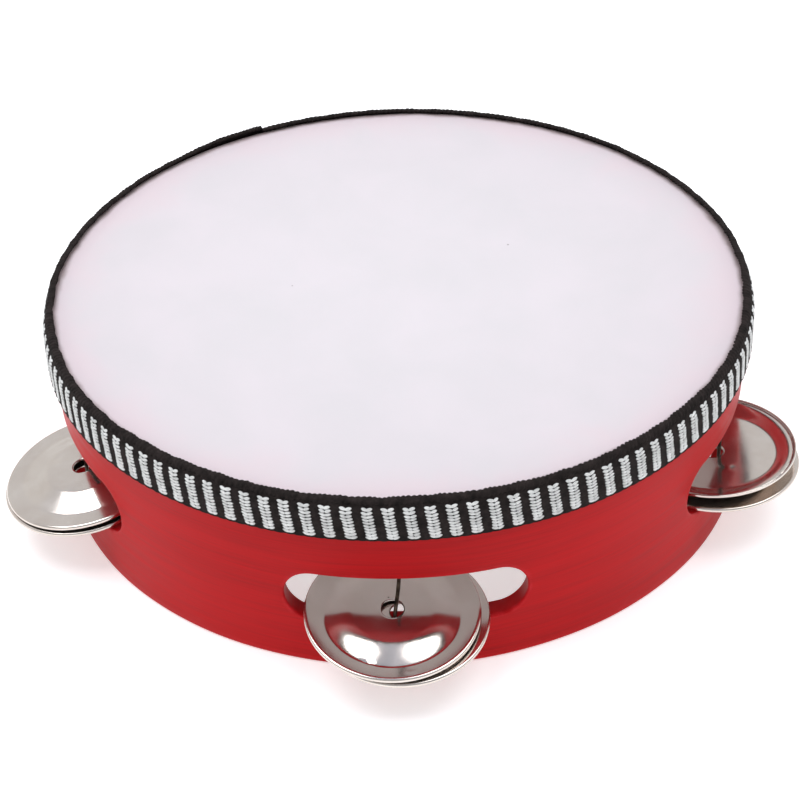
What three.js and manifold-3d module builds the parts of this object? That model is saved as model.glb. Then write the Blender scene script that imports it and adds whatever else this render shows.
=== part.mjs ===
// A small headed tambourine: a bentwood hoop with a skin head glued over its top edge,
// a braided ribbon round the glued skirt, and five slots that each hold two loose
// sheet-steel jingles on one wire pin.
// Millimetres, +Z up. The origin is the middle of the head's playing face.

import * as THREE from 'three';
import { mergeVertices } from 'three/addons/utils/BufferGeometryUtils.js';
import Module from 'manifold-3d';

const wasm = await Module();
wasm.setup();

// ---------------------------------------------------------------- driving dimensions

const HOOP_RADIUS = 76;
const HOOP_WALL = 4.6;
const PLAYING_FACE_HEIGHT = 43;
const SKIN_THICKNESS = 0.5;
const RIBBON_THICKNESS = 0.45;
const RIBBON_BOTTOM = 34.9;
const SKIRT_BOTTOM = 35.5;
const GAP = 0.3;
const EDGE_ROUNDING = 0.7;
const RING_SEGMENTS = 90;

const SLOT_COUNT = 5;
const SLOT_LENGTH = 49;
const SLOT_HEIGHT = 12;
const SLOT_MIDDLE = 17.5;
const SLOT_ARC_SEGMENTS = 4;

const PIN_RADIUS = 0.4;
const PIN_LOW = 0.6;
const PIN_HIGH = 32;
const PIN_SEGMENTS = 10;

const JINGLE_RADIUS = 17.9;
const JINGLE_HOLE_RADIUS = 2.3;
const JINGLE_SHEET = 0.4;
const JINGLE_SEGMENTS = 28;
const CROWN_RADIUS = 8.5;
const CROWN_FOOT_RADIUS = 13;
const CROWN_HEIGHT = 1.2;
const LIP_DROP = 0.8;

// Each slot's jingles lie as they fell. A station's turn is how many degrees its slot was
// cut away from an even fifth, and its pinShift how far its pin is from the slot's middle.
// Tilts are in degrees, outer edge down, and the other numbers are millimetres: how far
// each hole's middle is from the pin, sideways and outwards, and the height of each rim
// above the hoop's lower edge.
const STATIONS = [
  { turn: 0, lean: 6, pinShift: -1.8,
    lower: { tilt: 8, roll: 0.5, sideways: 1.2, outwards: 0.9, height: 12.8, crownUp: true },
    upper: { tilt: 9, roll: 1.0, sideways: -0.75, outwards: 1.1, height: 14.35, crownUp: true } },
  { turn: -1.8, lean: -1.5, pinShift: -2.3,
    lower: { tilt: -2, roll: 0.3, sideways: -0.2, outwards: -0.5, height: 12.9, crownUp: true },
    upper: { tilt: -1.9, roll: 0, sideways: -0.3, outwards: -1.4, height: 15.7, crownUp: false } },
  { turn: 0.5, lean: 1, pinShift: -0.4,
    lower: { tilt: 7, roll: -1, sideways: -0.6, outwards: 0.8, height: 12.9, crownUp: true },
    upper: { tilt: 10, roll: 0, sideways: 0.4, outwards: 1.0, height: 15.0, crownUp: true } },
  { turn: -0.6, lean: -1, pinShift: 0.5,
    lower: { tilt: 3, roll: 0.5, sideways: 0.2, outwards: 0.6, height: 12.8, crownUp: true },
    upper: { tilt: 4, roll: -0.5, sideways: -0.5, outwards: 0.7, height: 15.6, crownUp: false } },
  { turn: 1.5, lean: 1.5, pinShift: 1.6,
    lower: { tilt: 8, roll: 0.6, sideways: 0.4, outwards: 0.6, height: 12.9, crownUp: true },
    upper: { tilt: 10, roll: -0.4, sideways: 0.3, outwards: 0.4, height: 15.05, crownUp: true } },
];

// ---------------------------------------------------------------- worked out from them

const pinCircleRadius = HOOP_RADIUS - HOOP_WALL / 2;
const hoopTop = PLAYING_FACE_HEIGHT - SKIN_THICKNESS - GAP;
const skirtInner = HOOP_RADIUS + GAP;
const skirtOuter = skirtInner + SKIN_THICKNESS - 0.1;
const ribbonInner = skirtOuter + GAP;
const ribbonOuter = ribbonInner + RIBBON_THICKNESS;
const ribbonTop = PLAYING_FACE_HEIGHT + GAP + RIBBON_THICKNESS;
const selvedgeInner = ribbonOuter - 2.4;
const openHeadRadius = selvedgeInner - 1;
const slotEndRadius = SLOT_HEIGHT / 2;
const slotStraight = SLOT_LENGTH - SLOT_HEIGHT;

// ---------------------------------------------------------------- finishes

const finish = (color, roughness, metalness) =>
  new THREE.MeshStandardMaterial({ color, roughness, metalness });

const FINISHES = {
  redPaintedWood: () => finish(0xb8202a, 0.4, 0),
  calfSkin: () => finish(0xe8e0e8, 0.6, 0),
  wovenBraid: () => finish(0x2a2a2e, 0.9, 0),
  steelWire: () => finish(0x6f6a66, 0.4, 1),
  stampedSteel: () => finish(0xb9b2aa, 0.25, 1),
};

// ---------------------------------------------------------------- shape helpers

// Turns a profile of [radius, height] points into a solid of revolution about Z.
function turned(profile, segments) {
  const points = profile.map(([radius, height]) => new THREE.Vector2(radius, height));
  return new THREE.LatheGeometry(points, segments).rotateX(Math.PI / 2);
}

// Points of a quarter-round corner, from one angle to another, in degrees.
function corner(centreRadius, centreHeight, radius, fromAngle, toAngle, steps) {
  return Array.from({ length: steps + 1 }, (_, step) => {
    const angle = THREE.MathUtils.degToRad(fromAngle + (toAngle - fromAngle) * step / steps);
    return [centreRadius + radius * Math.cos(angle), centreHeight + radius * Math.sin(angle)];
  });
}

function toSolid(geometry) {
  const bare = geometry.clone();
  bare.deleteAttribute('normal');
  bare.deleteAttribute('uv');
  const merged = mergeVertices(bare, 1e-4);
  return new wasm.Manifold(new wasm.Mesh({
    numProp: 3,
    vertProperties: new Float32Array(merged.attributes.position.array),
    triVerts: new Uint32Array(merged.index.array),
  }));
}

function toGeometry(solid) {
  const mesh = solid.getMesh();
  const geometry = new THREE.BufferGeometry();
  geometry.setAttribute('position', new THREE.BufferAttribute(mesh.vertProperties, 3));
  geometry.setIndex(new THREE.BufferAttribute(mesh.triVerts, 1));
  geometry.computeVertexNormals();
  return geometry;
}

function named(name, geometry, material) {
  const mesh = new THREE.Mesh(geometry, material);
  mesh.name = name;
  return mesh;
}

function stationAngle(index) {
  return THREE.MathUtils.degToRad(index * 360 / SLOT_COUNT + STATIONS[index].turn);
}

// ---------------------------------------------------------------- hoop

// The plain bent hoop, with its edges sanded round.
function plainHoop() {
  const inner = HOOP_RADIUS - HOOP_WALL;
  const r = EDGE_ROUNDING;
  const profile = [
    ...corner(inner + r, r, r, 180, 270, 1),
    ...corner(HOOP_RADIUS - r, r, r, 270, 360, 1),
    ...corner(HOOP_RADIUS - r, hoopTop - r, r, 0, 90, 1),
    ...corner(inner + r, hoopTop - r, r, 90, 180, 1),
  ];
  profile.push(profile[0]);
  return turned(profile, RING_SEGMENTS);
}

// A long slot with round ends, cut straight through the wall on the -Y side.
function slotCutter() {
  const shape = new THREE.Shape();
  shape.absarc(slotStraight / 2, 0, slotEndRadius, -Math.PI / 2, Math.PI / 2, false);
  shape.absarc(-slotStraight / 2, 0, slotEndRadius, Math.PI / 2, 3 * Math.PI / 2, false);
  const depth = HOOP_WALL * 4;
  const settings = { depth, bevelEnabled: false, curveSegments: 2 * SLOT_ARC_SEGMENTS };
  return new THREE.ExtrudeGeometry(shape, settings)
    .rotateX(Math.PI / 2)
    .translate(0, -pinCircleRadius + depth / 2, SLOT_MIDDLE);
}

// A round bar along a station's pin, for the pin itself and for the hole it sits in.
function pinBar(station, radius, low, high) {
  const length = high - low;
  return new THREE.CylinderGeometry(radius, radius, length, PIN_SEGMENTS)
    .rotateX(Math.PI / 2)
    .translate(0, 0, (low + high) / 2 - SLOT_MIDDLE)
    .rotateY(THREE.MathUtils.degToRad(station.lean))
    .translate(station.pinShift, -pinCircleRadius, SLOT_MIDDLE);
}

function hoop() {
  let wood = toSolid(plainHoop());
  STATIONS.forEach((station, index) => {
    const slot = slotCutter().rotateZ(stationAngle(index));
    const bore = pinBar(station, PIN_RADIUS + GAP, -1, PIN_HIGH + GAP).rotateZ(stationAngle(index));
    wood = wood.subtract(toSolid(slot)).subtract(toSolid(bore));
  });
  return named('hoop', toGeometry(wood), FINISHES.redPaintedWood());
}

// ---------------------------------------------------------------- head and ribbon

// The skin: a flat disc that turns down over the hoop's top edge into a glued skirt.
function drumhead() {
  const shoulder = 1.2;
  const under = shoulder - SKIN_THICKNESS + 0.1;
  const profile = [
    [0, PLAYING_FACE_HEIGHT - SKIN_THICKNESS],
    ...corner(skirtInner - under, PLAYING_FACE_HEIGHT - SKIN_THICKNESS - under, under, 90, 0, 1),
    [skirtInner, SKIRT_BOTTOM],
    [skirtOuter, SKIRT_BOTTOM],
    ...corner(skirtOuter - shoulder, PLAYING_FACE_HEIGHT - shoulder, shoulder, 0, 90, 2),
    [openHeadRadius, PLAYING_FACE_HEIGHT],
    [0, PLAYING_FACE_HEIGHT],
  ];
  return named('drumhead', turned(profile, RING_SEGMENTS), FINISHES.calfSkin());
}

// The braid: a thin band round the skirt whose upper selvedge leans in over the shoulder.
function ribbon() {
  const outside = 1.7;
  const inside = outside - RIBBON_THICKNESS;
  const profile = [
    [ribbonInner, RIBBON_BOTTOM],
    [ribbonOuter, RIBBON_BOTTOM],
    ...corner(ribbonOuter - outside, ribbonTop - outside, outside, 0, 90, 2),
    [selvedgeInner, ribbonTop],
    [selvedgeInner, ribbonTop - RIBBON_THICKNESS],
    ...corner(ribbonOuter - outside, ribbonTop - outside, inside, 90, 0, 2),
    [ribbonInner, RIBBON_BOTTOM],
  ];
  return named('ribbon_trim', turned(profile, RING_SEGMENTS), FINISHES.wovenBraid());
}

// ---------------------------------------------------------------- pins and jingles

// A stamped disc: a low flat crown round the hole, a flat rim and a turned-down lip.
// Its local zero is the middle of the rim's upper face.
function jingleGeometry() {
  const shoulder = 0.3;
  const lipInner = JINGLE_RADIUS - JINGLE_SHEET;
  const profile = [
    [JINGLE_HOLE_RADIUS, CROWN_HEIGHT - JINGLE_SHEET],
    [CROWN_RADIUS, CROWN_HEIGHT - JINGLE_SHEET - 0.1],
    [CROWN_FOOT_RADIUS, -JINGLE_SHEET],
    [lipInner, -JINGLE_SHEET],
    [lipInner, -LIP_DROP],
    [JINGLE_RADIUS, -LIP_DROP],
    [JINGLE_RADIUS, -shoulder],
    [JINGLE_RADIUS - shoulder, 0],
    [CROWN_FOOT_RADIUS, 0],
    [CROWN_RADIUS, CROWN_HEIGHT - 0.1],
    [JINGLE_HOLE_RADIUS, CROWN_HEIGHT],
    [JINGLE_HOLE_RADIUS, CROWN_HEIGHT - JINGLE_SHEET],
  ];
  return turned(profile, JINGLE_SEGMENTS);
}

// Puts one jingle at its place on the pin of the -Y side's station.
function jingle(name, station, pose) {
  const disc = named(name, jingleGeometry(), FINISHES.stampedSteel());
  const lean = Math.tan(THREE.MathUtils.degToRad(station.lean));
  const pinX = station.pinShift + (pose.height - SLOT_MIDDLE) * lean;
  disc.position.set(pinX + pose.sideways, -pinCircleRadius - pose.outwards, pose.height);
  const turnOver = pose.crownUp ? 0 : Math.PI;
  disc.rotation.x = THREE.MathUtils.degToRad(pose.tilt) + turnOver;
  disc.rotation.y = THREE.MathUtils.degToRad(pose.roll);
  return disc;
}

function stationGroup(station, index) {
  const number = index + 1;
  const group = new THREE.Group();
  const bar = pinBar(station, PIN_RADIUS, PIN_LOW, PIN_HIGH);
  group.add(named(`pin_${number}`, bar, FINISHES.steelWire()));
  group.add(jingle(`jingle_${number}_lower`, station, station.lower));
  group.add(jingle(`jingle_${number}_upper`, station, station.upper));
  group.rotation.z = stationAngle(index);
  return group;
}

// ---------------------------------------------------------------- assembly

const tambourine = new THREE.Group();
const instrument = new THREE.Group();
instrument.position.z = -PLAYING_FACE_HEIGHT;
instrument.add(hoop(), drumhead(), ribbon());
STATIONS.forEach((station, index) => instrument.add(stationGroup(station, index)));
tambourine.add(instrument);

export default tambourine;
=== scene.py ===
# %% [markdown]
# # A small headed tambourine
# The frame holds the tambourine as plain solids, in metres, with its origin in the middle of
# the head's playing face and +Z up. This lesson gives each of those solids the surface that a
# maker's hands leave on it: painted bentwood, stretched skin, woven braid, wire and sheet steel.
# Every new piece is worked out as a grid of points, a function of two parameters, so that its
# shape can be read from a formula and changed in one place.

# %% Load the fixed frame
import math

import bmesh
import bpy
import numpy as np
from mathutils import Matrix, Vector


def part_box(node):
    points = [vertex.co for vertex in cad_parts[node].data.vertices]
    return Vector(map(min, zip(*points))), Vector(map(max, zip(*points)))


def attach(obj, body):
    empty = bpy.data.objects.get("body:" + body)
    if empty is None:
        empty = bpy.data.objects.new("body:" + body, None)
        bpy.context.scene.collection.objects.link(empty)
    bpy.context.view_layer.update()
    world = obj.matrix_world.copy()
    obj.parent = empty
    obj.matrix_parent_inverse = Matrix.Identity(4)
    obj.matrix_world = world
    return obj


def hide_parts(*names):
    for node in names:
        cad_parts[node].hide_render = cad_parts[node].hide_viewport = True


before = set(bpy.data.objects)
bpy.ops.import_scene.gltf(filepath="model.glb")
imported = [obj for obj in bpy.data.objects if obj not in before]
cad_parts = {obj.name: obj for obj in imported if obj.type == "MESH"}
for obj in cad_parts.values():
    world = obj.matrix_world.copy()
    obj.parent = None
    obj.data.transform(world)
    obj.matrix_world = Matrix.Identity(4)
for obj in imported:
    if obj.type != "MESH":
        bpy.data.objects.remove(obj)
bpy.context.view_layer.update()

MM = 0.001

# %% [markdown]
# ## Sizes read from the frame
# The hoop's solid gives the radius, the foot and the top of the wood. The other sizes are the
# maker's own: the thickness of the bent strip, the slot that a router cuts, and the height of
# its middle above the foot.

# %% Hoop sizes
hoop_low, hoop_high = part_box("hoop")
HOOP_RADIUS = -hoop_low.y
HOOP_FOOT = hoop_low.z
WOOD_TOP = hoop_high.z
HOOP_WALL = 4.6 * MM
SLOT_COUNT = 5
SLOT_LENGTH = 49 * MM
SLOT_HEIGHT = 12 * MM
SLOT_MIDDLE = HOOP_FOOT + 17.5 * MM
SLOT_TURNS = [math.radians(turn) for turn in (0, -1.8, 0.5, -0.6, 1.5)]
print(f"hoop {2000 * HOOP_RADIUS:.0f} mm across, {-1000 * HOOP_FOOT:.0f} mm deep")

# %% [markdown]
# ## The camera
# A camera is easiest to place on a sphere round the thing it looks at: a distance, a height
# angle and a way round. The aim is then raised a little, and the picture is rolled about two
# degrees, because the camera was held slightly off level.

# %% Place the camera
EYE_DISTANCE = 6.89 * HOOP_RADIUS
EYE_ELEVATION = math.radians(37.52)
EYE_AROUND = math.radians(0.45)
AIM_UP = math.radians(1.006)
AIM_LEFT = math.radians(0.048)
ROLL = math.radians(-2.128)
LENS = 102.1
SENSOR = 36


def unit(vector):
    """The same direction, one metre long."""
    return vector / vector.length


foot_middle = Vector((0, 0, HOOP_FOOT))
eye_offset = EYE_DISTANCE * Vector((0, -math.cos(EYE_ELEVATION), math.sin(EYE_ELEVATION)))
level_right = Vector((1, 0, 0))
level_up = level_right.cross(-unit(eye_offset))
forward = unit(-unit(eye_offset) - math.tan(AIM_LEFT) * level_right + math.tan(AIM_UP) * level_up)
right = unit(forward.cross(level_up))
up = right.cross(forward)
rolled_right = math.cos(ROLL) * right + math.sin(ROLL) * up
rolled_up = math.cos(ROLL) * up - math.sin(ROLL) * right
turned = Matrix((rolled_right, rolled_up, -forward)).transposed().to_4x4()
turned.translation = eye_offset

camera = bpy.data.objects.new("camera", bpy.data.cameras.new("camera"))
camera.data.lens = LENS
camera.data.sensor_width = SENSOR
camera.data.clip_start = 0.01
camera.matrix_world = (
    Matrix.Translation(foot_middle) @ Matrix.Rotation(EYE_AROUND, 4, "Z") @ turned
)
bpy.context.scene.collection.objects.link(camera)
bpy.context.scene.camera = camera
print("camera", [round(value, 3) for value in camera.matrix_world.translation], "m")

# %% [markdown]
# ## Numbers into meshes
# A grid of points with rows and columns becomes four-sided faces. Where a row or a column
# comes back to its start, the grid wraps. Several grids can make one piece: points that fall
# on each other are merged, so that the piece is closed, and the faces are then turned outwards.

# %% Mesh helpers
def grid_faces(rows, columns, wrap_rows, wrap_columns):
    """Four corner numbers for each cell of a rows-by-columns grid of points, row by row."""
    row = np.arange(rows if wrap_rows else rows - 1)
    column = np.arange(columns if wrap_columns else columns - 1)
    row, column = np.meshgrid(row, column, indexing="ij")
    next_row, next_column = (row + 1) % rows, (column + 1) % columns
    corners = [
        row * columns + column,
        next_row * columns + column,
        next_row * columns + next_column,
        row * columns + next_column,
    ]
    return np.stack(corners, axis=-1).reshape(-1, 4)


def make_piece(name, grids, attributes=None, merge=1e-7):
    """One closed mesh object from grids of points, each given as (points, wrap_rows, wrap_columns).
    attributes maps a name to one array of numbers for each grid, a number for each point."""
    points, faces, start = [], [], 0
    for grid, wrap_rows, wrap_columns in grids:
        rows, columns = grid.shape[:2]
        faces.append(grid_faces(rows, columns, wrap_rows, wrap_columns) + start)
        points.append(grid.reshape(-1, 3))
        start += rows * columns
    mesh = bpy.data.meshes.new(name)
    mesh.from_pydata(np.concatenate(points).tolist(), [], np.concatenate(faces).tolist())
    for key, values in (attributes or {}).items():
        layer = mesh.attributes.new(key, "FLOAT", "POINT")
        flat = np.concatenate([np.ravel(value) for value in values])
        layer.data.foreach_set("value", flat.astype(np.float32))
    shape = bmesh.new()
    shape.from_mesh(mesh)
    bmesh.ops.remove_doubles(shape, verts=shape.verts, dist=merge)
    bmesh.ops.dissolve_degenerate(shape, edges=shape.edges, dist=merge)
    bmesh.ops.recalc_face_normals(shape, faces=shape.faces)
    shape.to_mesh(mesh)
    open_edges = sum(1 for edge in shape.edges if len(edge.link_faces) != 2)
    shape.free()
    mesh.shade_smooth()
    piece = bpy.data.objects.new(name, mesh)
    bpy.context.scene.collection.objects.link(piece)
    print(f"{name}: {len(mesh.polygons)} faces, {open_edges} open edges")
    return piece


def turned_grid(profile, turns):
    """A profile of (radius, height) points carried round the Z axis, as turns rows of points."""
    angle = np.linspace(0, 2 * np.pi, turns, endpoint=False)[:, None]
    radius, height = profile[None, :, 0], profile[None, :, 1]
    level = np.broadcast_to(height, (turns, len(profile)))
    return np.stack([radius * np.sin(angle), -radius * np.cos(angle), level], axis=-1)


def way_round(points):
    """Each point's angle about the Z axis: 0 at the front, -Y, and growing towards +X."""
    return np.arctan2(points[..., 0], -points[..., 1])


# %% [markdown]
# ## Finishes
# Each finish is one Principled shader with its patterns. Colours are written as the hex values
# that a painter would read off a swatch, and one function turns them to the linear numbers that
# light works in. One small function adds a node with its settings and its links.

# %% Material helpers
def swatch(hex_colour):
    """A hex colour as linear red, green, blue and alpha: each channel is undone from sRGB."""
    channels = [int(hex_colour[i:i + 2], 16) / 255 for i in (1, 3, 5)]
    linear = [c / 12.92 if c <= 0.04045 else ((c + 0.055) / 1.055) ** 2.4 for c in channels]
    return (*linear, 1.0)


def add_node(tree, kind, inputs=None, **settings):
    """Adds a node. Each input is a number, a colour or the socket that it is linked from."""
    node = tree.nodes.new(kind)
    for key, value in settings.items():
        setattr(node, key, value)
    for key, value in (inputs or {}).items():
        if isinstance(value, bpy.types.NodeSocket):
            tree.links.new(value, node.inputs[key])
        else:
            node.inputs[key].default_value = value
    return node


def new_finish(name, **constants):
    """A material with one Principled shader, and the point of the piece being shaded."""
    material = bpy.data.materials.new(name)
    material.use_nodes = True
    tree = material.node_tree
    tree.nodes.clear()
    inputs = {key.replace("_", " "): value for key, value in constants.items()}
    shader = add_node(tree, "ShaderNodeBsdfPrincipled", inputs)
    add_node(tree, "ShaderNodeOutputMaterial", {"Surface": shader.outputs["BSDF"]})
    place = add_node(tree, "ShaderNodeTexCoord").outputs["Object"]
    return material, tree, shader, place


MIX_FACTOR, MIX_A, MIX_B, MIX_RESULT = 0, 6, 7, 2

# %% [markdown]
# Most patterns are made of the same few parts, so each part gets a name here: a noise with
# features of a real size, a stretched copy of the piece's points, a value carried from one range
# to another, a sum, a blend of two colours, and a bump of a real depth.

# %% Parts of a pattern
def per(size):
    """The texture scale whose features are about this many metres across."""
    return 1 / size


def noise(tree, place, size, detail, roughness, **more):
    """Soft noise, 0 to 1, with features of this size, finer detail and how strong that is."""
    inputs = {"Vector": place, "Scale": per(size), "Detail": detail, "Roughness": roughness}
    return add_node(tree, "ShaderNodeTexNoise", {**inputs, **more}).outputs["Fac"]


def stretch(tree, place, sizes, turn=(0, 0, 0)):
    """The piece's points, turned, and measured in a size of its own for each direction."""
    scale = tuple(per(size) for size in sizes)
    inputs = {"Vector": place, "Rotation": turn, "Scale": scale}
    return add_node(tree, "ShaderNodeMapping", inputs).outputs["Vector"]


def remap(tree, value, low, high, to_low=0.0, to_high=1.0, curve="LINEAR"):
    """A value carried from the range low to high into another range, and held at its ends."""
    inputs = {"Value": value, "From Min": low, "From Max": high,
              "To Min": to_low, "To Max": to_high}
    return add_node(tree, "ShaderNodeMapRange", inputs, interpolation_type=curve).outputs["Result"]


def work_out(tree, operation, *values):
    """One step of arithmetic on two or three values."""
    inputs = dict(enumerate(values))
    return add_node(tree, "ShaderNodeMath", inputs, operation=operation).outputs["Value"]


def blend(tree, share, first, second):
    """The first colour, turning into the second as the share grows from 0 to 1."""
    inputs = {MIX_FACTOR: share, MIX_A: first, MIX_B: second}
    return add_node(tree, "ShaderNodeMix", inputs, data_type="RGBA").outputs[MIX_RESULT]


def bump(tree, height, strength, depth, under=None):
    """Tilts the surface as if a height of this depth stood on it, over another bump if given."""
    inputs = {"Height": height, "Strength": strength, "Distance": depth}
    if under:
        inputs["Normal"] = under
    return add_node(tree, "ShaderNodeBump", inputs).outputs["Normal"]


def connect(tree, shader, **patterns):
    """Links each pattern to the shader's input of that name."""
    for key, pattern in patterns.items():
        tree.links.new(pattern, shader.inputs[key.replace("_", " ")])


# %% [markdown]
# ## The hoop
# The real hoop is a strip of hardwood, steamed, bent to a ring and glued where its ends overlap.
# Slots are routed through it, every edge is broken with sandpaper, and red paint goes on with a
# brush. A boolean cut would leave long thin faces round the slots. Here each fifth of the wall
# is a net instead: its rows go round the slot, and its columns run from the fifth's border,
# over the slot's rounded edge, through the wall and back out on the inside.

# %% Net for one fifth of the wall
EDGE_ROUNDING = 0.7 * MM
SLOT_ROUNDING = 0.55 * MM
SLOT_END = SLOT_HEIGHT / 2
SLOT_STRAIGHT = SLOT_LENGTH / 2 - SLOT_END
FIFTH = HOOP_RADIUS * math.pi / SLOT_COUNT
STRAIGHT_REACH = 24 * MM
WALL_LOW = HOOP_FOOT + EDGE_ROUNDING
WALL_HIGH = WOOD_TOP - EDGE_ROUNDING


def leg(start, end, count):
    """count evenly spaced points from start towards end, without the end itself."""
    share = np.linspace(0, 1, count, endpoint=False)[:, None]
    return np.array(start) * (1 - share) + np.array(end) * share


def turn_about_axis(points, angle):
    """Points turned about +Z by an angle."""
    cos, sin = math.cos(angle), math.sin(angle)
    return points @ np.array([[cos, sin, 0], [-sin, cos, 0], [0, 0, 1]])


def border_and_slot():
    """The border of one fifth and the slot's outline, point for point, clockwise from the top.
    Above and below, border points face the slot's straight edges. Round each end, the share of
    the way along the border from top to bottom is the share of half a turn of the slot's end."""
    over = leg((-STRAIGHT_REACH, WALL_HIGH), (STRAIGHT_REACH, WALL_HIGH), 30)
    round_end = np.concatenate([
        leg((STRAIGHT_REACH, WALL_HIGH), (FIFTH, WALL_HIGH), 16),
        leg((FIFTH, WALL_HIGH), (FIFTH, WALL_LOW), 18),
        leg((FIFTH, WALL_LOW), (STRAIGHT_REACH, WALL_LOW), 16),
    ])
    steps = np.linalg.norm(np.diff(round_end, axis=0, append=[[STRAIGHT_REACH, WALL_LOW]]), axis=1)
    travelled = (np.cumsum(steps) - steps) / steps.sum()
    angle = np.pi / 2 - np.pi * travelled
    outward_end = np.stack([np.cos(angle), np.sin(angle)], axis=-1)
    end_edge = outward_end * SLOT_END + [SLOT_STRAIGHT, SLOT_MIDDLE]
    outward_over = np.broadcast_to([0.0, 1.0], over.shape)
    over_edge = np.stack([
        over[:, 0] * SLOT_STRAIGHT / STRAIGHT_REACH,
        np.full(len(over), SLOT_MIDDLE + SLOT_END),
    ], axis=-1)
    turned_about = np.array([-1.0, -1.0])
    half_border = np.concatenate([over, round_end])
    half_edge = np.concatenate([over_edge, end_edge])
    half_out = np.concatenate([outward_over, outward_end])
    wall_middle = (WALL_LOW + WALL_HIGH) / 2
    other_border = (half_border - [0, wall_middle]) * turned_about + [0, wall_middle]
    other_edge = (half_edge - [0, SLOT_MIDDLE]) * turned_about + [0, SLOT_MIDDLE]
    border = np.concatenate([half_border, other_border])
    edge = np.concatenate([half_edge, other_edge])
    out = np.concatenate([half_out, half_out * turned_about])
    return border, edge, out


def wall_net(slot_turn):
    """Points of one fifth of the wall at the front, its slot turned a little from the middle.
    A column is either a share of the way from the border to the slot, or a step of the
    quarter-round that leads through the wall."""
    border, edge, out = border_and_slot()
    inner_radius = HOOP_RADIUS - HOOP_WALL
    columns, worn = [], []

    def face_column(share, radius):
        rim = edge + out * SLOT_ROUNDING
        slot_angle = np.arcsin(rim[:, 0] / radius) + slot_turn
        angle = slot_angle * (1 - share) + border[:, 0] / HOOP_RADIUS * share
        height = rim[:, 1] * (1 - share) + border[:, 1] * share
        flat = np.stack([radius * np.sin(angle), -radius * np.cos(angle), height], axis=-1)
        columns.append(flat)
        worn.append(np.full(len(border), max(0, 1 - share * 12)))

    def edge_column(outwards, depth):
        rim = edge + out * outwards
        radius = HOOP_RADIUS - depth
        flat = np.stack([rim[:, 0], -np.sqrt(radius**2 - rim[:, 0]**2), rim[:, 1]], axis=-1)
        columns.append(turn_about_axis(flat, slot_turn))
        worn.append(np.full(len(border), 1.0))

    shares = np.array([1, 0.85, 0.68, 0.5, 0.34, 0.2, 0.1, 0.04, 0])
    quarter = np.linspace(0, np.pi / 2, 5)[1:]
    for share in shares:
        face_column(share, HOOP_RADIUS)
    for angle in quarter:
        edge_column(SLOT_ROUNDING * (1 - np.sin(angle)), SLOT_ROUNDING * (1 - np.cos(angle)))
    for depth in np.linspace(SLOT_ROUNDING, HOOP_WALL - SLOT_ROUNDING, 5)[1:-1]:
        edge_column(0, depth)
        worn[-1] *= 0.35
    for angle in quarter[::-1]:
        edge_column(SLOT_ROUNDING * (1 - np.sin(angle)),
                    HOOP_WALL - SLOT_ROUNDING * (1 - np.cos(angle)))
    for share in shares[::-1]:
        face_column(share, inner_radius)
    return np.stack(columns, axis=1), np.stack(worn, axis=1)


fifths = [wall_net(slot_turn) for slot_turn in SLOT_TURNS]
fifth_worn = fifths[0][1]
print("wall net:", fifth_worn.shape[0], "rows round the slot,", fifth_worn.shape[1], "columns")

# %% [markdown]
# The foot and the top of the strip are sanded round as well. A narrow profile, carried round
# on the same angles as the wall's border, closes the ring. Bent wood is never a true circle, so
# every point then moves in or out by a few hundredths of a millimetre, and the glued scarf at
# the back shows as a small step where the outer end of the strip was planed thin.

# %% Rims, bend and scarf
SCARF_ANGLE = math.radians(115)
SCARF_LENGTH = math.radians(26)
SCARF_STEP = 0.16 * MM


def rim_net(edge_height, direction):
    """The rounded rim, over one turn: a quarter-round, a flat and a second quarter-round."""
    border = border_and_slot()[0]
    on_top = border[:, 1] > WALL_HIGH - 0.01 * MM
    along_top = np.unique(np.round(border[on_top, 0], 9))
    fifth_angles = along_top[:-1] / HOOP_RADIUS
    turns = np.arange(SLOT_COUNT)[:, None] * 2 * np.pi / SLOT_COUNT
    angles = (turns + fifth_angles[None]).ravel()[:, None]
    quarter = np.linspace(0, np.pi / 2, 5)
    out_radius = HOOP_RADIUS - EDGE_ROUNDING * (1 - np.cos(quarter))
    in_radius = HOOP_RADIUS - HOOP_WALL + EDGE_ROUNDING * (1 - np.cos(quarter[::-1]))
    rise = direction * EDGE_ROUNDING * np.sin(quarter)
    radius = np.concatenate([out_radius, in_radius])[None]
    height = np.concatenate([rise, rise[::-1]])[None] + edge_height
    height = np.broadcast_to(height, (len(angles), height.shape[1]))
    return np.stack([radius * np.sin(angles), -radius * np.cos(angles), height], axis=-1)


def bend(points):
    """Moves points along their radius: a slow wave from bending, a finer one from sanding, and
    a ramp that ends in a step at the scarf."""
    angle = way_round(points)
    height = points[..., 2] / HOOP_FOOT
    wave = 0.05 * np.sin(2 * angle + 0.6) + 0.04 * np.sin(5 * angle + 1.1 + 1.5 * height)
    wave = wave + 0.02 * np.sin(17 * angle - 2.0 * height)
    behind = np.mod(SCARF_ANGLE - angle, 2 * np.pi)
    ramp = np.clip(1 - behind / SCARF_LENGTH, 0, 1) * SCARF_STEP
    factor = 1 + (wave * MM + ramp) / HOOP_RADIUS
    return points * np.stack([factor, factor, np.ones_like(factor)], axis=-1)


slot_angles = [number * 2 * math.pi / SLOT_COUNT for number in range(SLOT_COUNT)]
wall = [turn_about_axis(fifth[0], angle) for fifth, angle in zip(fifths, slot_angles)]
rims = [rim_net(WALL_LOW, -1), rim_net(WALL_HIGH, 1)]
hoop_grids = [(bend(points), True, False) for points in wall + rims]
hoop_worn = [fifth_worn] * SLOT_COUNT + [np.full(rim.shape[:2], 0.7) for rim in rims]
painted_hoop = make_piece("painted_hoop", hoop_grids, {"worn": hoop_worn}, merge=2e-6)

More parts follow.
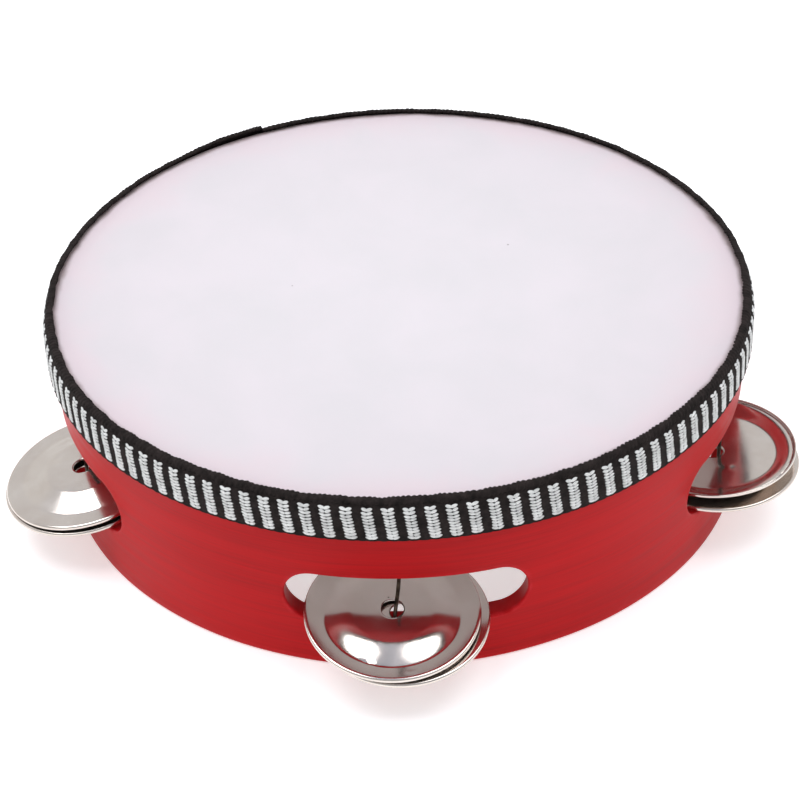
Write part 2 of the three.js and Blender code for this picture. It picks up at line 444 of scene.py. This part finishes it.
# %% [markdown]
# ## Red enamel over beech
# Brushed enamel has three things to show. The wood's grain still telegraphs through as fine
# lengthwise lines, so a noise is squeezed along Z and stretched round the hoop. The brush
# leaves broad paler and darker bands. And on the broken edges the coat is thinner and rubbed,
# where the colour turns pinker and duller.

# %% Painted wood
def red_enamel():
    """Satin red enamel: its colour deepens in the grain and thins on the worn edges."""
    material, tree, shader, place = new_finish(
        "red_enamel_on_beech", IOR=1.5, Metallic=0.0, Specular_IOR_Level=0.12)
    grain = noise(tree, stretch(tree, place, (22 * MM, 22 * MM, 0.45 * MM)), 1, 5.0, 0.6)
    brush = noise(tree, stretch(tree, place, (60 * MM, 60 * MM, 5 * MM)), 1, 3.0, 0.5)
    deep = blend(tree, remap(tree, grain, 0.3, 0.7), swatch("#980309"), swatch("#B3050C"))
    banded = blend(tree, remap(tree, brush, 0.35, 0.75, 0, 0.5), deep, swatch("#C20810"))
    worn = add_node(tree, "ShaderNodeAttribute", attribute_name="worn").outputs["Fac"]
    rubbed = work_out(tree, "MULTIPLY", worn, noise(tree, place, 2.5 * MM, 4.0, 0.65))
    rub_share = remap(tree, rubbed, 0.38, 0.68, 0, 0.55)
    connect(tree, shader,
            Base_Color=blend(tree, rub_share, banded, swatch("#C0262E")),
            Roughness=remap(tree, grain, 0.3, 0.7, 0.36, 0.5),
            Normal=bump(tree, brush, 0.4, 0.12 * MM, bump(tree, grain, 0.35, 0.06 * MM)))
    return material


painted_hoop.data.materials.append(red_enamel())
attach(painted_hoop, "drum")
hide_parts("hoop")

# %% [markdown]
# ## The head
# The head is one piece of skin, soaked, pulled over the wood and glued down outside it, so it is
# flat in the middle, turns over the edge in a soft round and ends under the braid. As it dried
# it left slow hollows of a few hundredths of a millimetre, and here and there by the braid a
# small fold that the stretching didn't take out. The shape is a profile carried round the axis,
# and a height is then added that depends on the radius and the angle.

# %% Skin shape
SKIN = 0.45 * MM
head_low, head_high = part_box("drumhead")
SKIRT_RADIUS = -head_low.y
SKIRT_BOTTOM = head_low.z
SHOULDER = 1.2 * MM
HEAD_TURNS = 360


def arc(centre, radius, start, end, count):
    """Points of a circle's arc from one angle to another, in degrees, as (radius, height)."""
    angle = np.radians(np.linspace(start, end, count))
    way = np.stack([np.cos(angle), np.sin(angle)], axis=-1)
    return np.array(centre) + radius * way


def skin_profile():
    """The section of the skin: out along the face, round the shoulder, down the skirt and back."""
    flat = SKIRT_RADIUS - SHOULDER
    reach = np.concatenate([np.linspace(0, 60, 21), np.linspace(61, 1000 * flat, 24)])[:-1] * MM
    face = np.stack([reach, np.zeros_like(reach)], axis=-1)
    outside = arc((flat, -SHOULDER), SHOULDER, 90, 0, 9)
    inside = arc((flat, -SHOULDER), SHOULDER - SKIN, 0, 90, 9)
    skirt_height = np.linspace(-SHOULDER, SKIRT_BOTTOM, 8)[1:]
    skirt = np.stack([np.full(7, SKIRT_RADIUS), skirt_height], axis=-1)
    back_up = np.stack([np.full(7, SKIRT_RADIUS - SKIN), skirt_height[::-1]], axis=-1)
    under = face[::-1] - [0, SKIN]
    return np.concatenate([face, outside, skirt, back_up, inside, under])


def skin_relief(points, folds):
    """Height added to the skin: slow hollows that fade out at the middle, and narrow folds that
    start at the braid and die away inwards. A fold is (angle, height, width, length)."""
    radius = np.hypot(points[..., 0], points[..., 1])
    angle = way_round(points)
    out = radius / SKIRT_RADIUS
    hollows = 0.05 * np.sin(3 * angle + 0.8) * out**3 + 0.03 * np.sin(7 * angle + 6 * out) * out**4
    hollows = hollows - 0.04 * np.cos(np.pi * np.clip(out, 0, 1) * 1.2)
    relief = hollows * MM
    for fold_angle, height, width, length in folds:
        away = np.angle(np.exp(1j * (angle - fold_angle))) * radius
        inwards = np.clip(SKIRT_RADIUS - 1.6 * MM - radius, 0, None)
        relief = relief + height * np.exp(-(away / width)**2 - (inwards / length)**2)
    fade = np.clip((SKIRT_RADIUS - radius) / (1.2 * MM), 0, 1)
    return relief * fade


dice = np.random.RandomState(11)
front_folds = [(math.radians(-20.5), 0.16 * MM, 2.2 * MM, 1.3 * MM),
               (math.radians(-11.5), 0.13 * MM, 3.0 * MM, 1.1 * MM),
               (math.radians(14.0), 0.10 * MM, 2.4 * MM, 1.2 * MM)]
other_folds = [(angle, height * MM, width * MM, 1.4 * MM) for angle, height, width in zip(
    dice.uniform(0.5, 5.8, 14), dice.uniform(0.05, 0.16, 14), dice.uniform(1.5, 4, 14))]
skin = turned_grid(skin_profile(), HEAD_TURNS)
skin[..., 2] += skin_relief(skin, front_folds + other_folds)
stretched_head = make_piece("stretched_head", [(skin, True, False)], merge=1e-6)

# %% [markdown]
# ## Goat skin
# Dried skin is not paper: it is a pale, faintly violet white, a little translucent, with a fine
# pore. The red dye of the wood has bled into it from the edge, as a pink stain with a wandering
# border. The last millimetre under the braid is darkened partly by glue and partly by painted
# shade from the braid's edge, and a few specks are hair roots.
# Nearly half of the light that meets the skin comes out on its other side, so the lit table
# under the tambourine makes it glow, and the drum is bright inside.

# %% Skin finish
LIGHT_THROUGH = 0.45


def goat_skin():
    """Pale translucent skin with a pink bleed at the edge, clouding, pores and specks."""
    material, tree, shader, place = new_finish(
        "dried_goat_skin", IOR=1.45, Metallic=0.0, Specular_IOR_Level=0.35)
    apart = add_node(tree, "ShaderNodeSeparateXYZ", {"Vector": place})
    flat = add_node(tree, "ShaderNodeCombineXYZ", {
        "X": apart.outputs["X"], "Y": apart.outputs["Y"]})
    reach = add_node(tree, "ShaderNodeVectorMath", {
        0: flat.outputs["Vector"]}, operation="LENGTH").outputs["Value"]
    cloud = noise(tree, place, 22 * MM, 5.0, 0.6, Distortion=0.4)
    ground = blend(tree, remap(tree, cloud, 0.35, 0.65), swatch("#F0EAF0"), swatch("#F5EDF4"))
    bleed_reach = work_out(tree, "MULTIPLY_ADD", cloud, 26 * MM, reach)
    bleed = remap(tree, bleed_reach, 76 * MM, 89 * MM, 0, 0.5, "SMOOTHSTEP")
    stained = blend(tree, bleed, ground, swatch("#F7E0E8"))
    # Glue and painted shade: a grey-brown band darkens the last millimetre under the braid's edge.
    glue_and_shade_edge = noise(tree, place, 5 * MM, 4.0, 0.6)
    glue_and_shade_reach = work_out(tree, "MULTIPLY_ADD", glue_and_shade_edge, 1.6 * MM, reach)
    glue_and_shade = remap(tree, glue_and_shade_reach, 74.6 * MM, 76.2 * MM, 0, 0.8, "SMOOTHSTEP")
    glued_and_shaded = blend(tree, glue_and_shade, stained, swatch("#93807F"))
    cells = add_node(tree, "ShaderNodeTexVoronoi", {"Vector": place, "Scale": per(13 * MM)})
    chance = work_out(tree, "LESS_THAN", cells.outputs["Color"], 0.42)
    near = work_out(tree, "LESS_THAN", cells.outputs["Distance"], 0.026)
    speck = work_out(tree, "MULTIPLY", work_out(tree, "MULTIPLY", chance, near), 0.7)
    pore = noise(tree, place, 0.7 * MM, 3.0, 0.6)
    connect(tree, shader,
            Base_Color=blend(tree, speck, glued_and_shaded, swatch("#6E5660")),
            Roughness=remap(tree, cloud, 0.3, 0.7, 0.5, 0.66),
            Normal=bump(tree, pore, 0.3, 0.05 * MM))
    glow = add_node(tree, "ShaderNodeBsdfTranslucent", {"Color": swatch("#DDE3DF")})
    through = add_node(tree, "ShaderNodeMixShader", {
        0: LIGHT_THROUGH, 1: shader.outputs["BSDF"], 2: glow.outputs["BSDF"]})
    output = next(node for node in tree.nodes if node.type == "OUTPUT_MATERIAL")
    tree.links.new(through.outputs["Shader"], output.inputs["Surface"])
    return material


stretched_head.data.materials.append(goat_skin())
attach(stretched_head, "drum")
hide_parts("drumhead")

# %% [markdown]
# ## The braid
# The trim is a flat braid of black yarn with white bars: 118 of them fit round this hoop. Its
# upper selvedge is a thick black cord edge that leans in over the head's shoulder. First comes
# the ground: a thin band whose section stands straight, then rolls inwards as a quarter of an
# oval, with the relief of the black yarns pressed into its outer face.

# %% Section of the braid
BARS = 118
ROWS = 10
ROW_PITCH = 0.74 * MM
BRAID = 0.42 * MM
braid_low, braid_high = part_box("ribbon_trim")
BRAID_RADIUS = -braid_low.y - 0.03 * MM
BRAID_BOTTOM = braid_low.z
ROLL_START = -3.0 * MM
SELVEDGE_REACH = 2.4 * MM
SELVEDGE_TOP = 0.66 * MM
BAR_LEAN = 1.4 * MM
BAR_PHASE = math.radians(1.2)
LAP_START = math.radians(-137)
LAP_END = math.radians(-155)


def braid_path(share):
    """Middle line of the braid's section for shares 0 to 1 of the way from the lower edge to
    the selvedge: a straight rise, then a quarter of an oval. Returns places and outward slopes."""
    rise = ROLL_START - BRAID_BOTTOM
    turn = np.linspace(0, np.pi / 2, 60)
    oval_r = SELVEDGE_REACH * np.cos(turn)**0.8
    oval_z = (SELVEDGE_TOP - ROLL_START) * np.sin(turn)**0.8
    line = np.concatenate([
        [[BRAID_RADIUS, BRAID_BOTTOM]],
        np.stack([BRAID_RADIUS - SELVEDGE_REACH + oval_r, ROLL_START + oval_z], axis=-1)])
    steps = np.concatenate([[0], np.cumsum(np.linalg.norm(np.diff(line, axis=0), axis=1))])
    past = line[-1] + (line[-1] - line[-6]) * 8
    line = np.concatenate([line, [past]])
    steps = np.concatenate([steps, [steps[-1] + np.linalg.norm(past - line[-2])]])

    def on_line(way):
        return np.stack([np.interp(way, steps, line[:, 0]), np.interp(way, steps, line[:, 1])], -1)

    at = np.asarray(share) * steps[-2]
    place = on_line(at)
    along = on_line(at + 0.1 * MM) - on_line(at - 0.1 * MM)
    along /= np.linalg.norm(along, axis=-1, keepdims=True)
    outward = np.stack([along[..., 1], -along[..., 0]], axis=-1)
    return place, outward, steps[-2]


BRAID_WIDTH = braid_path(0.0)[2]
bar_pitch = 2 * math.pi * BRAID_RADIUS / BARS
print(f"braid {1000 * BRAID_WIDTH:.1f} mm wide, bars {1000 * bar_pitch:.2f} mm apart")

# %% [markdown]
# The braid's free end overlaps its start at the back left. Its second layer lifts the braid
# outwards and upwards over some thirty millimetres, and stops in a cut end.

# %% Lap and ground
LAP_OUT = 0.45 * MM
LAP_UP = 0.55 * MM


def lap(angle):
    """How far the braid stands off at each angle: it ramps up to the cut end, then drops."""
    along = np.mod(LAP_START - angle, 2 * np.pi) / (LAP_START - LAP_END)
    lift = np.clip(along * 1.6, 0, 1)
    return np.where(along <= 1, lift, 0)


def on_braid(angle, share, outwards):
    """Points of the braid at an angle round the hoop, a share of its width and a height above
    its middle line. The cord edge wanders a little, and the lap lifts the whole section."""
    place, outward, _ = braid_path(share)
    wander = 0.10 * np.sin(9 * angle + 1) + 0.07 * np.sin(23 * angle)
    wander = wander + 0.05 * np.sin(41 * angle + 2)
    radius = place[..., 0] + outward[..., 0] * outwards - wander * MM * np.asarray(share)**6
    height = place[..., 1] + outward[..., 1] * outwards
    radius = radius + LAP_OUT * lap(angle)
    height = height + LAP_UP * lap(angle) * np.asarray(share)**2
    return np.stack([radius * np.sin(angle), -radius * np.cos(angle), height], axis=-1)


def ground_relief(angle, share):
    """Black yarn heights: ribs as far apart as the weave's rows, shifted half a rib from one
    column to the next, and a rounded lower edge."""
    height = share * BRAID_WIDTH
    column = np.round(angle * BARS / np.pi * 2)
    rib = np.cos(2 * np.pi * height / ROW_PITCH + np.pi * column)
    return (0.06 * rib + 0.10 * np.exp(-(height / (0.35 * MM))**2)) * MM


around = np.linspace(0, 2 * np.pi, BARS * 8, endpoint=False)[:, None]
outer_share = np.linspace(0, 0.94, 44)[None]
inner_share = np.array([0.94, 0.85, 0.72, 0.55, 0.3, 0])[None]
outer_height = BRAID / 2 + ground_relief(around, outer_share)
outer_face = on_braid(around, np.broadcast_to(outer_share, outer_height.shape), outer_height)
inner_shape = (len(around), inner_share.shape[1])
inner_height = np.full(inner_shape, -BRAID / 2)
inner_face = on_braid(around, np.broadcast_to(inner_share, inner_shape), inner_height)
ground = np.concatenate([outer_face, inner_face], axis=1)
braid_ground = make_piece("braid_ground", [(ground, True, True)], merge=1e-8)

# %% [markdown]
# The selvedge is a cord of two black strands, laid over the ground's top edge. It is a tube
# whose section bulges where a strand passes: the bulges run round the tube as they go along
# it, and no two are quite the same size, because the yarn was fed by hand.

# %% Corded selvedge
CORD_TWISTS = 232
CORD_HIGH = 0.86 * MM
CORD_THICK = 0.52 * MM
CORD_SHARE = 0.90


def corded_edge():
    """A tube round the hoop on the braid's top edge. Its section is an oval, times a bulge that
    is the root of a sine of the angle round the tube plus the strands' twist."""
    angle = np.linspace(0, 2 * np.pi, CORD_TWISTS * 12, endpoint=False)[:, None]
    turn = np.linspace(0, 2 * np.pi, 14, endpoint=False)[None]
    uneven = 0.07 * np.sin(61 * angle + 1) + 0.06 * np.sin(97 * angle + 4)
    uneven = uneven + 0.05 * np.sin(149 * angle)
    slip = 0.9 * np.sin(19 * angle) + 0.7 * np.sin(43 * angle + 2)
    bulge = np.abs(np.sin(turn + CORD_TWISTS * angle + slip))**0.6
    size = (0.62 + 0.42 * bulge) * (1 + uneven)
    wander = 0.12 * np.sin(9 * angle + 1) + 0.10 * np.sin(31 * angle)
    wander = wander + 0.07 * np.sin(77 * angle + 2)
    share = CORD_SHARE + (wander * 0.4 * MM + CORD_HIGH * size * np.cos(turn)) / BRAID_WIDTH
    outwards = 0.22 * MM + CORD_THICK * size * np.sin(turn)
    return on_braid(np.broadcast_to(angle, share.shape), share, outwards)


braid_selvedge = make_piece("braid_selvedge", [(corded_edge(), True, True)], merge=1e-8)

# %% [markdown]
# ## The white bars
# Each white bar is ten rows high. In every row two short floats of white yarn dip towards each
# other, so the row is a shallow V and the bar's sides look sawn. More than two thousand floats
# would be heavy as fine shapes, so each is a grain of six sides and six rings. All of them are
# worked out at once, as one array of points.

# %% White floats
FLOAT_HALF = 0.70 * MM
FLOAT_HIGH = 0.36 * MM
FLOAT_THICK = 0.17 * MM
FLOAT_RISE = 0.17 * MM
FLOAT_SIDES = 6
float_rings = np.linspace(-1, 1, 6)


def white_floats():
    """All the grains' points. A grain is half as high as FLOAT_HIGH says at its middle, and a
    little more in the three lowest rows, which close up. Towards its ends it falls as one minus
    the square of the way out, to the power 0.55. It lies on the braid, tilted along its length."""
    bar, row, side = np.meshgrid(np.arange(BARS), np.arange(ROWS), [-1, 1], indexing="ij")
    bar, row, side = bar.ravel(), row.ravel(), side.ravel()
    chance = np.random.RandomState(5)
    shake = chance.normal(0, 1, (3, len(bar)))
    middle_height = 0.42 * MM + ROW_PITCH * (row + 0.5) + shake[0] * 0.025 * MM
    lean = -BAR_LEAN * (middle_height / BRAID_WIDTH - 0.4)
    middle_along = side * 0.52 * MM + lean + shake[1] * 0.05 * MM
    ring = float_rings[None, :, None]
    turn = np.linspace(0, 2 * np.pi, FLOAT_SIDES, endpoint=False)[None, None, :]
    fall = (1 - ring**2 * 0.985)**0.55
    half_length = FLOAT_HALF * (1 + 0.08 * shake[2])[:, None, None]
    half_height = (FLOAT_HIGH + 0.07 * MM * (row < 3))[:, None, None]
    along = middle_along[:, None, None] + ring * half_length
    slant = side[:, None, None] * ring * FLOAT_RISE
    height = middle_height[:, None, None] + slant + half_height * fall * np.cos(turn)
    outwards = 0.04 * MM + BRAID / 2 + FLOAT_THICK * fall * np.sin(turn)
    angle = BAR_PHASE + bar[:, None, None] * 2 * np.pi / BARS + along / BRAID_RADIUS
    angle, height, outwards = np.broadcast_arrays(angle, height, outwards)
    return on_braid(angle, height / BRAID_WIDTH, outwards)


floats = white_floats()
grain_count = len(floats)
grain_start = np.arange(grain_count)[:, None, None] * floats.shape[1] * FLOAT_SIDES
all_faces = grid_faces(len(float_rings), FLOAT_SIDES, False, True)[None] + grain_start
first_ring = np.arange(FLOAT_SIDES)
caps = np.stack([first_ring[::-1], first_ring + (len(float_rings) - 1) * FLOAT_SIDES])
all_caps = caps[None] + grain_start
float_mesh = bpy.data.meshes.new("braid_white_bars")
float_mesh.from_pydata(
    floats.reshape(-1, 3).tolist(), [],
    all_faces.reshape(-1, 4).tolist() + all_caps.reshape(-1, FLOAT_SIDES).tolist())
shape = bmesh.new()
shape.from_mesh(float_mesh)
bmesh.ops.recalc_face_normals(shape, faces=shape.faces)
shape.to_mesh(float_mesh)
shape.free()
float_mesh.shade_smooth()
braid_white_bars = bpy.data.objects.new("braid_white_bars", float_mesh)
bpy.context.scene.collection.objects.link(braid_white_bars)
print("white floats:", grain_count, "faces:", len(float_mesh.polygons))

# %% [markdown]
# ## Rayon yarn
# Both colours are the same spun rayon: nearly matt, with next to no mirror and single
# fibres that catch the light. A noise as fine as a bundle of fibres moves the colour and
# the bump. Real fibres are too fine to show, so the bundles are drawn a tenth of a millimetre.

# %% Yarn finishes
def yarn(name, low, high):
    """Spun rayon between two colours, with fibre bundles in colour and relief."""
    material, tree, shader, place = new_finish(
        name, IOR=1.5, Metallic=0.0, Roughness=0.82, Specular_IOR_Level=0.12)
    fibre = noise(tree, place, 0.12 * MM, 2.0, 0.7)
    both = work_out(tree, "MULTIPLY", fibre, noise(tree, place, 1.6 * MM, 3.0, 0.6))
    connect(tree, shader,
            Base_Color=blend(tree, remap(tree, both, 0.12, 0.4), swatch(low), swatch(high)),
            Normal=bump(tree, fibre, 0.5, 0.05 * MM))
    return material


black_yarn = yarn("black_rayon_yarn", "#100D0C", "#2F2827")
braid_ground.data.materials.append(black_yarn)
braid_selvedge.data.materials.append(black_yarn)
braid_white_bars.data.materials.append(yarn("white_rayon_yarn", "#B9BAB9", "#EDEEED"))
for piece in (braid_ground, braid_selvedge, braid_white_bars):
    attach(piece, "drum")
    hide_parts("ribbon_trim")

# %% [markdown]
# ## The wire pins
# Each pin is a straight piece of drawn wire, driven in from the foot of the hoop. Its solid in
# the frame gives the line it lies on: the long direction of its points. The new wire is a tube
# of three gentle waves, because no driven wire stays quite straight, with a flattened end.

# %% Pin shapes
WIRE_RADIUS = 0.4 * MM


def node_points(node):
    """All points of a solid in the frame, as an array."""
    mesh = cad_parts[node].data
    points = np.empty(len(mesh.vertices) * 3, np.float32)
    mesh.vertices.foreach_get("co", points)
    return points.reshape(-1, 3).astype(float)


def directions(points):
    """The middle of the points and their three main directions, the longest spread first."""
    middle = (points.max(axis=0) + points.min(axis=0)) / 2
    return middle, np.linalg.svd(points - middle, full_matrices=False)[2]


def wire_grid(points):
    """A round tube along the points' long direction: the radius closes to nothing at both ends,
    and the middle line bows by less than a tenth of a millimetre."""
    middle, (along, side, across) = directions(points)
    half = np.abs((points - middle) @ along).max()
    share = np.concatenate([[-1, -1, -0.998], np.linspace(-0.99, 0.99, 40), [0.998, 1, 1]])
    radius = WIRE_RADIUS * np.concatenate([[0, 0.7, 0.95], np.ones(40), [0.95, 0.7, 0]])
    bow = 0.06 * MM * np.sin(2.6 * np.pi * share) * (1 - share**2)
    line = middle + np.outer(half * share, along) + np.outer(bow, side)
    turn = np.linspace(0, 2 * np.pi, 20, endpoint=False)[:, None]
    ring = np.cos(turn)[..., None] * side + np.sin(turn)[..., None] * across
    return line[None] + radius[None, :, None] * ring


# %% [markdown]
# ## Drawn steel
# Wire that was never polished is a dull brown grey. Drawing leaves fine lines along it, and the
# paint and the rust of years give it darker blotches.

# %% Wire finish
def drawn_wire():
    """Dull brown-grey steel with darker blotches."""
    material, tree, shader, place = new_finish("drawn_steel_wire", Metallic=1.0)
    blotch = noise(tree, place, 1.8 * MM, 4.0, 0.65)
    share = remap(tree, blotch, 0.35, 0.65)
    connect(tree, shader,
            Base_Color=blend(tree, share, swatch("#2E2620"), swatch("#5E544A")),
            Roughness=remap(tree, blotch, 0.35, 0.65, 0.55, 0.35),
            Normal=bump(tree, blotch, 0.4, 0.05 * MM))
    return material


wire_finish = drawn_wire()
for number in range(1, SLOT_COUNT + 1):
    pin = make_piece(f"wire_pin_{number}", [(wire_grid(node_points(f"pin_{number}")), True, False)])
    pin.data.materials.append(wire_finish)
    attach(pin, "drum")
    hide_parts(f"pin_{number}")

# %% [markdown]
# ## The jingles
# A jingle is punched from sheet steel and pressed in one stroke: a flat crown round the hole, a
# slope down to a flat rim, and an edge turned down for stiffness. Cheap tools and years of
# playing leave it slightly twisted, with small dents. The section is carried round the axis,
# then a twist and the dents are added as heights that depend on where the point is.

# %% Jingle section
JINGLE_RADIUS = 17.9 * MM
HOLE_RADIUS = 2.3 * MM
SHEET = 0.4 * MM
CROWN = 1.2 * MM
LIP_DROP = 0.8 * MM
JINGLE_TURNS = 96


def pressed_height(radius, die):
    """Height of the upper face. A die is (crown radius, foot radius, crown height, foot height,
    rim height, softness): the crown is nearly flat, a cone leads down from it to its foot with
    ends as round as the softness says, and from there the rim runs evenly to the edge."""
    crown, foot, top, low, rim, softness = die
    share = np.clip((radius - crown) / (foot - crown), 0, 1)
    step = share - softness * np.sin(2 * np.pi * share) / (2 * np.pi)
    dome = 0.05 * MM * np.clip(radius / crown, 0, 1)**2
    rim_share = np.clip((radius - foot) / (JINGLE_RADIUS - foot), 0, 1)
    return low + (top - low - dome) * (1 - step) + (rim - low) * rim_share


def jingle_section(die):
    """The closed section, from the hole out over the rim, round the lip and back underneath."""
    reach = np.linspace(HOLE_RADIUS, JINGLE_RADIUS - 0.55 * MM, 44)
    upper = np.stack([reach, pressed_height(reach, die)], axis=-1)
    under = upper[::-1] - [0, SHEET]
    edge = upper[-1, 1]
    shoulder = arc((JINGLE_RADIUS - 0.5 * MM, edge - 0.5 * MM), 0.5 * MM, 85, 0, 7)
    lip_low = np.array([
        [JINGLE_RADIUS, -0.66 * MM], [JINGLE_RADIUS - 0.04 * MM, -LIP_DROP],
        [JINGLE_RADIUS - 0.3 * MM, -LIP_DROP], [JINGLE_RADIUS - 0.36 * MM, -0.7 * MM]]) + [0, edge]
    inside = arc((JINGLE_RADIUS - 0.6 * MM, edge - 0.6 * MM), 0.2 * MM, 0, 90, 3)
    return np.concatenate([upper, shoulder, lip_low, inside, under])


def press_faults(points, twist, dents):
    """Height from the twist, which grows with the square of the radius and turns over twice a
    turn, and from dents, each (across, along, depth, width) with a bell-shaped section."""
    x, y = points[..., 0], points[..., 1]
    height = twist[0] * (x * x - y * y) + twist[1] * 2 * x * y
    height = height / JINGLE_RADIUS**2
    for across, along, depth, width in dents:
        height = height - depth * np.exp(-((x - across)**2 + (y - along)**2) / width**2)
    return height


def place_jingle(node, points):
    """Moves a jingle's points to where its solid lies. The solid's flattest direction is the
    jingle's axis, and it points the way that the hole stands above the rim."""
    solid = node_points(node)
    axis = directions(solid)[1][2]
    middle = solid.mean(axis=0)
    height = (solid - middle) @ axis
    reach = np.linalg.norm(solid - middle - np.outer(height, axis), axis=1)
    hole_height = height[reach < 1.2 * HOLE_RADIUS].mean()
    axis = axis * np.sign(hole_height - height[reach > 0.95 * JINGLE_RADIUS].mean())
    rim_middle = middle + axis * (((solid - middle) @ axis).max() - CROWN)
    outward = np.array([rim_middle[0], rim_middle[1], 0.0])
    outward = outward - axis * (outward @ axis)
    outward /= np.linalg.norm(outward)
    sideways = np.cross(axis, outward)
    return points @ np.stack([sideways, -outward, axis]) + rim_middle


# %% [markdown]
# ## Bright stamped steel
# The discs were tumbled bright and left bare. Tumbled steel mirrors the room softly: a grey with
# a warm cast, a low roughness that varies in clouds from fingers and air, fine scratches in two
# directions, and a few dark pits. A rough clear coat over it stands for the film of dust and
# oil that lays a haze over every reflection.

# %% Jingle finish
def stamped_steel():
    """Bright warm-grey steel with clouds, scratches and pits."""
    material, tree, shader, place = new_finish(
        "tumbled_sheet_steel", Metallic=1.0, Coat_Weight=0.5, Coat_Roughness=0.65)
    cloud = noise(tree, place, 7 * MM, 5.0, 0.62)
    one_way = stretch(tree, place, (0.16 * MM, 5 * MM, 5 * MM), (0.3, 0.2, 0.8))
    other_way = stretch(tree, place, (6 * MM, 0.2 * MM, 6 * MM), (0.1, -0.2, -0.5))
    scratches = work_out(tree, "MULTIPLY", noise(tree, one_way, 1, 2.0, 0.5),
                         noise(tree, other_way, 1, 2.0, 0.5))
    pits = add_node(tree, "ShaderNodeTexVoronoi", {"Vector": place, "Scale": per(6 * MM)})
    pitted = work_out(tree, "LESS_THAN", pits.outputs["Distance"], 0.035)
    metal = blend(tree, remap(tree, cloud, 0.3, 0.7), swatch("#CFC5BD"), swatch("#D9D1CA"))
    connect(tree, shader,
            Base_Color=blend(tree, pitted, metal, swatch("#5A4F48")),
            Roughness=remap(tree, cloud, 0.3, 0.75, 0.10, 0.2),
            Normal=bump(tree, scratches, 0.12, 0.02 * MM))
    return material


# %% [markdown]
# ## Ten jingles from a few dies
# Most of the pairs come from one die. Three of the upper jingles were struck in others: one has
# a rim that rises to its edge, one a crown nearly as wide as the disc, and one a crisp cone.
# Every jingle then gets its own slight twist and four dents. The front one's dents are listed
# one by one, because it is the one that's seen best.

# %% Stamp the ten jingles
COMMON_DIE = (8.4 * MM, 13.8 * MM, CROWN, 0.0, 0.0, 0.35)
DIES = {"jingle_1_upper": (8.4 * MM, 13.8 * MM, 0.6 * MM, -0.6 * MM, 0.6 * MM, 0.35),
        "jingle_2_upper": (13.4 * MM, 16.9 * MM, CROWN, 0.0, 0.0, 0.35),
        "jingle_5_upper": (8.4 * MM, 13.8 * MM, CROWN, -0.5 * MM, -0.5 * MM, 0.0)}
FRONT_DENTS = [
    (-4.6 * MM, -12.8 * MM, 0.22 * MM, 0.7 * MM), (3.8 * MM, -15.3 * MM, 0.07 * MM, 0.6 * MM),
    (3.0 * MM, -3.6 * MM, 0.05 * MM, 0.8 * MM), (9.0 * MM, 6.0 * MM, 0.05 * MM, 2.5 * MM)]
steel_finish = stamped_steel()
press = np.random.RandomState(23)
for number in range(1, SLOT_COUNT + 1):
    for level in ("lower", "upper"):
        node = f"jingle_{number}_{level}"
        way, reach = press.uniform(0, 2 * np.pi, 4), press.uniform(5, 16, 4) * MM
        depth, width = press.uniform(0.03, 0.14, 4) * MM, press.uniform(0.8, 2.2, 4) * MM
        twist = press.normal(0, 0.07, 2) * MM
        dents = list(zip(reach * np.cos(way), reach * np.sin(way), depth, width))
        if node == "jingle_1_upper":
            dents = FRONT_DENTS
        points = turned_grid(jingle_section(DIES.get(node, COMMON_DIE)), JINGLE_TURNS)
        points[..., 2] += press_faults(points, twist, dents)
        piece = make_piece(f"steel_{node}", [(place_jingle(node, points), True, True)])
        piece.data.materials.append(steel_finish)
        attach(piece, node)
        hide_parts(node)

# %% [markdown]
# ## The studio
# The tambourine stands on a lit white table, so that it throws hardly any shadow. Two soft boxes
# hang overhead, left and right, and show as the two white shapes in the steel. The pale walls
# return an even light, a little cooler overhead and a little weaker from the front.

# %% Floor, lights and surroundings
FLOOR_HALF = 6.0
BOX_OUT, BOX_BACK, BOX_UP = 0.37, 0.04, 0.75
BOX_SIZE = (0.54, 0.62)
floor_corners = [(-1, -1), (1, -1), (1, 1), (-1, 1)]
floor_mesh = bpy.data.meshes.new("floor")
floor_mesh.from_pydata(
    [(FLOOR_HALF * x, FLOOR_HALF * y, HOOP_FOOT) for x, y in floor_corners], [], [(0, 1, 2, 3)])
floor = bpy.data.objects.new("floor", floor_mesh)
bpy.context.scene.collection.objects.link(floor)
floor_finish = new_finish(
    "opal_light_table", Base_Color=swatch("#F0F0F0"), Roughness=0.9,
    Emission_Color=swatch("#FFFFFF"), Emission_Strength=0.44)[0]
floor.data.materials.append(floor_finish)


def soft_box(name, x, power):
    """A rectangular area light that hangs at x and shines straight down. Power in watts."""
    light = bpy.data.lights.new(name, "AREA")
    light.shape = "RECTANGLE"
    light.size, light.size_y = BOX_SIZE
    light.energy = power
    box = bpy.data.objects.new(name, light)
    box.location = (x, BOX_BACK, BOX_UP)
    box.rotation_euler = Vector((0, 0, -1)).to_track_quat("-Z", "Y").to_euler()
    bpy.context.scene.collection.objects.link(box)


soft_box("soft_box_left", -BOX_OUT, 4.3)
soft_box("soft_box_right", BOX_OUT, 3.3)

world = bpy.data.worlds.new("studio")
bpy.context.scene.world = world
world.use_nodes = True
sky = world.node_tree
sky.nodes.clear()
sky_direction = add_node(sky, "ShaderNodeTexCoord").outputs["Generated"]
sky_apart = add_node(sky, "ShaderNodeSeparateXYZ", {"Vector": sky_direction})
overhead = remap(sky, sky_apart.outputs["Z"], 0.55, 0.95)
sky_light = add_node(sky, "ShaderNodeBackground", {
    "Color": blend(sky, overhead, (1.0, 1.0, 1.0, 1), (0.60, 0.64, 0.76, 1)),
    "Strength": remap(sky, sky_apart.outputs["Y"], -1.0, 0.1, 0.5, 0.82)})
add_node(sky, "ShaderNodeOutputWorld", {"Surface": sky_light.outputs["Background"]})
bpy.context.scene.view_settings.view_transform = "Standard"
